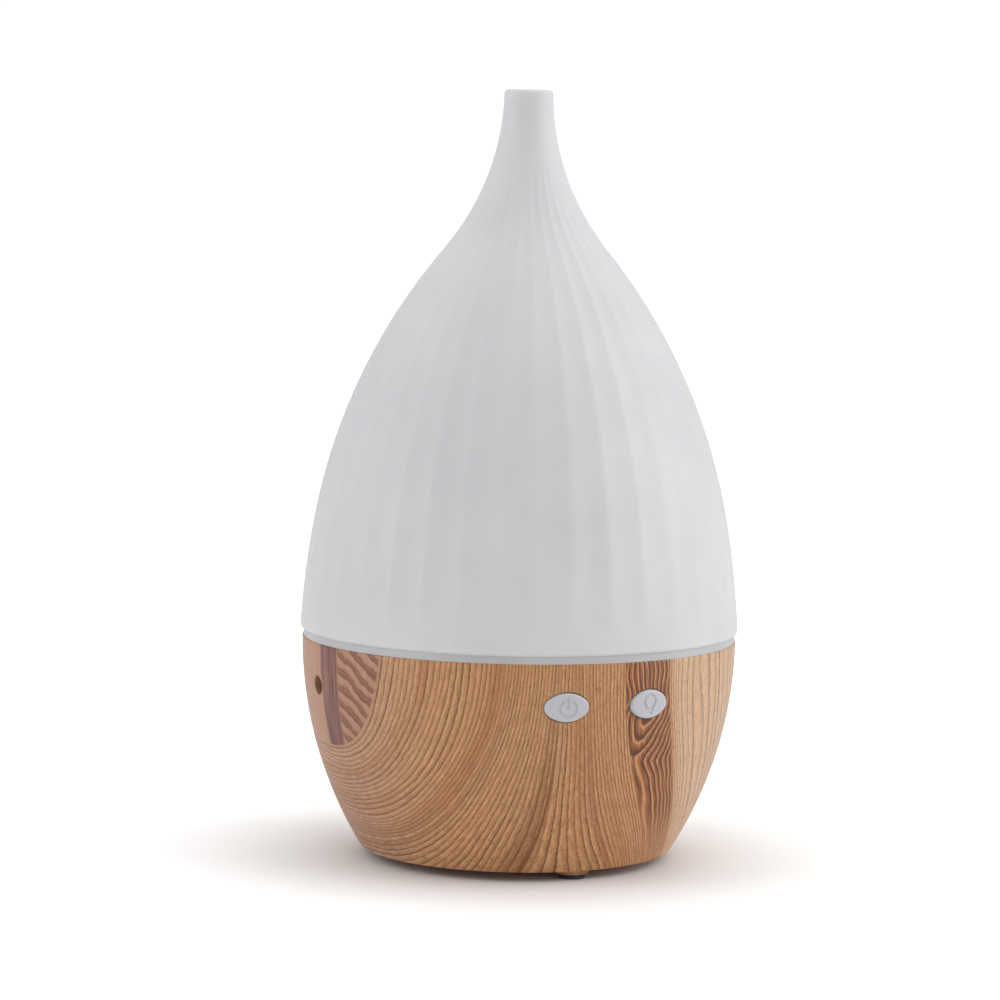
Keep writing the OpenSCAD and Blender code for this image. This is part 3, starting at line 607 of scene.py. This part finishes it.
def strip_figure(look, colour, turned, height):
    """The dark strip behind the light button, with nested arches under it."""
    wave = look.flat_noise(turned, 0.05, height, 0.09, 1.0)
    sway = look.product(look.math("SUBTRACT", wave, 0.5), 5.0)
    lean = look.math("MULTIPLY_ADD", look.math("SUBTRACT", height, 40.0), 0.42, 7.8)
    lean = look.math("MINIMUM", look.math("MAXIMUM", lean, 4.0), 10.5)
    local = look.total(look.math("SUBTRACT", turned, lean), sway)
    under = look.math("MAXIMUM", look.math("SUBTRACT", ARCH_TOP, height), 0.0)
    under = look.math("MINIMUM", under, ARCH_DEPTH)
    deep = look.math("POWER", look.product(under, 0.32), 2.0)
    reach = look.math("SQRT", look.total(look.math("POWER", local, 2.0), deep))
    fine = look.flat_noise(turned, 2.2, height, 0.1, 3.0, 0.6)
    saw = look.math("FRACT", look.total(look.product(reach, 0.8), look.product(fine, 0.45)))
    lines = look.ramp(saw, (0.0, 0.0), (0.4, 0.2), (0.68, 0.95), (0.88, 1.0), (0.98, 0.0))
    shine = look.ramp(saw, (0.0, 0.5), (0.1, 0.8), (0.26, 0.0))
    ground = look.mix(look.span(fine, 0.35, 0.7), srgb(190, 118, 66), srgb(126, 66, 32))
    figure = look.mix(lines, look.mix(shine, ground, srgb(228, 166, 112)), srgb(78, 34, 16))
    edge = look.product(sway, 0.2)
    left = look.span(look.total(turned, edge), *STRIP_LEFT)
    right = look.span(look.total(turned, edge), *STRIP_RIGHT)
    lower = look.span(look.total(height, look.product(fine, 14.0)), 10.0, 28.0, 0.25, 1.0)
    share = look.product(look.product(left, right), lower)
    return look.mix(look.product(share, 0.9), colour, figure)


# The patch inside the sweep: where it ends, its streak, and where its stepped bands start, in mm.
PATCH_EDGE = (23.8, 23.0)
PATCH_STREAK, STREAK_HALF = -74.8, (5.0, 4.2)
STEPS_START = (-71.5, -70.0)


def knot_patch(look, colour, across, turned, height):
    """The contrasting figure inside the sweep: a striped purple-brown streak and stepped bands."""
    inside = look.span(across, *PATCH_EDGE)
    ragged = look.flat_noise(turned, 0.5, height, 0.3, 3.0, 0.6)
    stripes = look.flat_noise(turned, 1.8, height, 0.05, 3.0, 0.65)
    streak_gap = look.math("ABSOLUTE", look.total(turned, -PATCH_STREAK))
    streak = look.span(look.total(streak_gap, look.product(ragged, 1.4)), *STREAK_HALF)
    slant = look.total(look.product(height, 0.24), look.product(turned, 0.16))
    bend = look.flat_noise(turned, 0.16, height, 0.16, 2.0, 0.5)
    step = look.math("FRACT", look.total(slant, look.product(bend, 1.3)))
    banded = look.ramp(step, (0.0, 0.1), (0.36, 0.0), (0.46, 0.7), (0.6, 1.0),
                       (0.72, 0.5), (0.8, 1.0), (1.0, 0.2))
    ground = look.mix(stripes, srgb(204, 158, 130), srgb(166, 112, 84))
    bands = look.mix(banded, ground, look.mix(ragged, srgb(150, 92, 64), srgb(98, 54, 36)))
    figure = look.mix(look.span(turned, *STEPS_START), ground, bands)
    purple = look.mix(look.span(stripes, 0.38, 0.62), srgb(98, 54, 48), srgb(152, 102, 88))
    figure = look.mix(streak, figure, purple)
    return look.mix(inside, colour, figure)


def wood_cover():
    """The bottom cover's plain wood-coloured moulding."""
    look = Look("wood_cover", IOR=1.5)
    place = look.add("Mapping", {"Vector": look.place(), "Scale": (1.0, 0.06, 1.0)}).outputs[0]
    grain = look.noise(place, 900.0, 4.0, 0.65)
    lines = look.noise(place, 260.0, 2.0, 0.5)
    colour = look.mix(look.span(grain, 0.3, 0.7), srgb(196, 148, 106), srgb(160, 110, 70))
    colour = look.mix(look.span(lines, 0.52, 0.62, 0.0, 0.6), colour, srgb(132, 86, 52))
    return look.finish(colour, look.span(grain, 0.2, 0.8, 0.4, 0.52), grain, 0.00002)


def brushed(name, light, dark, roughness, stretch=(40.0, 40.0, 1.0)):
    """Metal or ceramic with fine lines drawn out along one axis."""
    look = Look(name, Metallic=1.0)
    place = look.add("Mapping", {"Vector": look.place(), "Scale": stretch}).outputs[0]
    lines = look.noise(place, 120.0, 4.0, 0.7)
    spots = look.noise(look.place(), 220.0, 3.0, 0.6)
    colour = look.mix(look.span(spots, 0.35, 0.75), light, dark)
    rough = look.span(lines, 0.2, 0.8, roughness - 0.08, roughness + 0.12)
    return look.finish(colour, rough, lines, 0.00001)


def rubber(name, light, dark, roughness=0.75):
    """Matt rubber, silicone or wire sleeve, dusty in places."""
    look = Look(name, IOR=1.5)
    place = look.place()
    grain = look.noise(place, 1800.0, 4.0, 0.7)
    dust = look.span(look.noise(place, 240.0, 4.0, 0.7), 0.5, 0.8)
    colour = look.mix(dust, light, dark)
    rough = look.span(grain, 0.2, 0.8, roughness - 0.1, roughness + 0.1)
    return look.finish(colour, rough, grain, 0.00004)


def circuit_board():
    """Green solder mask over faint copper tracks, with its weave showing at grazing light."""
    look = Look("board", IOR=1.55, Coat_Weight=0.4, Coat_Roughness=0.15)
    place = look.place()
    pattern = {"Vector": place, "Scale": 420.0, "Mortar Size": 0.05, "Color1": (0.0, 0.0, 0.0),
               "Color2": (0.25, 0.25, 0.25), "Mortar": (1.0, 1.0, 1.0)}
    tracks = look.add("TexBrick", pattern).outputs["Color"]
    weave = look.add("TexWave", {"Vector": place, "Scale": 900.0, "Distortion": 0.4}).outputs["Fac"]
    colour = look.mix(tracks, srgb(18, 84, 44), srgb(40, 122, 66))
    colour = look.mix(look.span(look.noise(place, 90.0), 0.4, 0.7, 0.0, 0.3), colour, srgb(14, 62, 34))
    return look.finish(colour, look.span(weave, 0.0, 1.0, 0.3, 0.4), tracks, 0.00003)


def windings():
    """Enamelled copper wire, turn beside turn."""
    look = Look("copper_wire", Metallic=0.9, Coat_Weight=0.5, Coat_Roughness=0.12)
    place = look.place()
    wave = {"Vector": place, "Scale": 1400.0, "Distortion": 0.6}
    turns = look.add("TexWave", wave, bands_direction="Z").outputs["Fac"]
    colour = look.mix(turns, srgb(116, 58, 26), srgb(206, 124, 68))
    return look.finish(colour, look.span(look.noise(place, 300.0), 0.3, 0.7, 0.22, 0.36), turns, 0.00006)


def lens_resin():
    """The warm, milky resin of the light-emitting diodes."""
    look = Look("led_lens", IOR=1.5, Transmission_Weight=0.4, Subsurface_Weight=0.3,
                Subsurface_Scale=0.001)
    place = look.place()
    glow = look.noise(place, 300.0, 2.0)
    colour = look.mix(look.span(glow, 0.3, 0.7), srgb(250, 236, 150), srgb(238, 206, 96))
    return look.finish(colour, look.span(glow, 0.3, 0.7, 0.12, 0.2), glow, 0.00001)


# Each row is a slot: its light and its dark colour, then what its builder takes after them.
MOULDED = {
    "button_plastic": ((208, 207, 212), (201, 200, 206), 0.36, 0.000004),
    "mist_guide": ((228, 230, 232), (220, 222, 226), 0.4),
    "tank_plastic": ((202, 202, 203), (192, 192, 194), 0.4, 0.00001),
    "black_plastic": ((34, 34, 36), (22, 22, 24), 0.5),
    "socket_plastic": ((232, 226, 212), (220, 213, 196), 0.42),
    "chip_epoxy": ((30, 30, 32), (18, 18, 20), 0.62, 0.00004),
    "can_sleeve": ((30, 40, 92), (20, 28, 70), 0.25, 0.000005),
}
MOULDED_VALUES = {
    "button_plastic": {"IOR": 1.5, "Coat_Weight": 0.15, "Coat_Roughness": 0.3},
    "mist_guide": {"Subsurface_Weight": 0.25, "Subsurface_Scale": 0.003},
}
BRUSHED = {
    "screw_steel": ((204, 206, 208), (168, 170, 172), 0.3, (1.0, 1.0, 30.0)),
    "disc_ceramic": ((226, 218, 192), (196, 188, 160), 0.3),
    "brass_part": ((214, 176, 96), (176, 136, 66), 0.28),
    "core_steel": ((178, 180, 184), (140, 142, 148), 0.32),
    "magnet": ((96, 92, 92), (70, 68, 68), 0.55),
    "sink_aluminium": ((206, 208, 212), (178, 180, 186), 0.34, (1.0, 30.0, 30.0)),
}
RUBBER = {
    "foot_rubber": ((52, 53, 58), (72, 72, 76)),
    "silicone": ((214, 218, 218), (196, 200, 202), 0.55),
}
LEADS = {
    "red": (168, 28, 24),
    "black": (24, 24, 26),
    "yellow": (208, 178, 40),
    "white": (222, 222, 220),
    "blue": (34, 62, 150),
}


def looks():
    """One material for each of the record's slots."""
    made = {
        "frosted_cover": frosted_plastic(),
        "wood_print": wood_print(),
        "board": circuit_board(),
        "copper_wire": windings(),
        "led_lens": lens_resin(),
    }
    for name, (light, dark, *rest) in MOULDED.items():
        made[name] = moulded(name, srgb(*light), srgb(*dark), *rest, **MOULDED_VALUES.get(name, {}))
    for builder, rows in ((brushed, BRUSHED), (rubber, RUBBER)):
        for name, (light, dark, *rest) in rows.items():
            made[name] = builder(name, srgb(*light), srgb(*dark), *rest)
    for name, sleeve in LEADS.items():
        worn = srgb(*(0.85 * c for c in sleeve))
        made["lead_" + name] = rubber("lead_" + name, srgb(*sleeve), worn, 0.5)
    return made


# ---------------------------------------------------------------- the object

LOOKS = looks()
SLOT_OF = {part["node"]: part["material_slot"] for part in frame["record"]["subparts"]}
for node_name, node_object in frame["nodes"].items():
    node_object.data.materials.clear()
    node_object.data.materials.append(LOOKS[SLOT_OF[node_name]])
frame["nodes"]["bottom_cover"].data.materials[0] = wood_cover()

cover = fluted_cover()
cover.data.materials.append(LOOKS["frosted_cover"])
shell = wood_shell()
shell.data.materials.clear()
shell.data.materials.append(LOOKS["wood_print"])
paint_grain(shell)
for key, icon in (("power", power_icon), ("light", lamp_icon)):
    button = button_face(key, icon)
    button.data.materials.append(LOOKS["button_plastic"])
    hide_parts(key + "_button")

# ---------------------------------------------------------------- floor, light and camera


SKY_STRENGTH = 0.5
BACKDROP_STRENGTH = 1.05
FLOOR_HALF = 6.0
# The floor's painted glow to the camera, by distance from the middle in metres, so that it fades to white;
# none near the middle, which paints a shadow round the base.
FLOOR_GLOW_AND_PAINTED_SHADOW = ((0.035, 0.0), (0.07, 0.24), (0.11, 0.48), (0.3, 0.64), (1.0, 0.9))
# Soft lights: place, what they aim at, size (m) and power (W).
LIGHTS = {
    "overhead": ((0.1, 0.35, 1.5), (0, 0.1, 0), (2.2, 2.2), 8),
    "right": ((1.5, -0.9, 1.0), (0, 0, 0.1), (1.8, 1.8), 18),
    "left": ((-1.0, 0.15, 0.4), (0, 0, 0.08), (0.5, 0.9), 2.8),
}


def area_light(name, place, aim, size, power):
    data = bpy.data.lights.new(name, "AREA")
    data.shape = "RECTANGLE"
    data.size, data.size_y = size
    data.energy = power
    lamp = bpy.data.objects.new(name, data)
    bpy.context.scene.collection.objects.link(lamp)
    lamp.location = place
    lamp.rotation_euler = (Vector(aim) - Vector(place)).to_track_quat("-Z", "Y").to_euler()


def white_floor():
    """A pale floor that fades into the white backdrop, with a camera-only painted glow that is left out
    round the base as a painted shadow.
    """
    mesh = bpy.data.meshes.new("floor")
    corners = [(x * FLOOR_HALF, y * FLOOR_HALF, 0) for x, y in ((-1, -1), (1, -1), (1, 1), (-1, 1))]
    mesh.from_pydata(corners, [], [(0, 1, 2, 3)])
    floor = bpy.data.objects.new("floor", mesh)
    bpy.context.scene.collection.objects.link(floor)
    look = Look("floor")
    tone = look.noise(look.place(), 3.0, 2.0)
    away = look.add("VectorMath", {0: look.place()}, operation="LENGTH").outputs["Value"]
    # Painted light on the floor, seen by the camera only; its gap round the base is a painted shadow.
    glow = look.product(look.add("LightPath").outputs["Is Camera Ray"], look.ramp(away, *FLOOR_GLOW_AND_PAINTED_SHADOW))
    look.shader.inputs["Emission Color"].default_value = (1, 1, 1, 1)
    look.feed(look.shader.inputs["Emission Strength"], glow)
    colour = look.mix(tone, (0.9, 0.9, 0.905), (0.87, 0.87, 0.875))
    mesh.materials.append(look.finish(colour, look.span(tone, 0.3, 0.7, 0.7, 0.8)))


def surroundings():
    """A soft white sky for the light, and a plain white backdrop for the camera alone."""
    world = bpy.data.worlds.new("studio")
    bpy.context.scene.world = world
    world.use_nodes = True
    nodes, links = world.node_tree.nodes, world.node_tree.links
    sky = nodes["Background"]
    sky.inputs["Color"].default_value = (1, 1, 1, 1)
    sky.inputs["Strength"].default_value = SKY_STRENGTH
    backdrop = nodes.new("ShaderNodeBackground")
    backdrop.inputs["Color"].default_value = (1, 1, 1, 1)
    backdrop.inputs["Strength"].default_value = BACKDROP_STRENGTH
    which = nodes.new("ShaderNodeLightPath")
    mixed = nodes.new("ShaderNodeMixShader")
    links.new(which.outputs["Is Camera Ray"], mixed.inputs[0])
    links.new(sky.outputs[0], mixed.inputs[1])
    links.new(backdrop.outputs[0], mixed.inputs[2])
    links.new(mixed.outputs[0], nodes["World Output"].inputs[0])


CAMERA_TURN = math.radians(-24.15)
CAMERA_DOWN = math.radians(5.29)
CAMERA_ROLL = math.radians(1.06)
CAMERA_AWAY = 0.9316
CAMERA_HEIGHT = 0.1768
CAMERA_LENS = 132.8
CAMERA_SHIFT = -0.0214


def camera():
    """The photograph's view: its turn, height, distance and tilt, fitted to the seam and the outline."""
    data = bpy.data.cameras.new("camera")
    data.sensor_width = 36
    data.lens = CAMERA_LENS
    data.shift_x = CAMERA_SHIFT
    data.clip_end = 50
    view = bpy.data.objects.new("camera", data)
    bpy.context.scene.collection.objects.link(view)
    turn = Matrix.Rotation(CAMERA_TURN, 4, "Z")
    place = turn @ Vector((0, -CAMERA_AWAY, CAMERA_HEIGHT))
    tilt = Matrix.Rotation(math.pi / 2 - CAMERA_DOWN, 4, "X")
    roll = Matrix.Rotation(CAMERA_ROLL, 4, "Z")
    view.matrix_world = Matrix.Translation(place) @ turn @ tilt @ roll
    bpy.context.scene.camera = view


white_floor()
surroundings()
for light_name, setting in LIGHTS.items():
    area_light(light_name, *setting)
camera()
bpy.context.scene.view_settings.view_transform = "Standard"
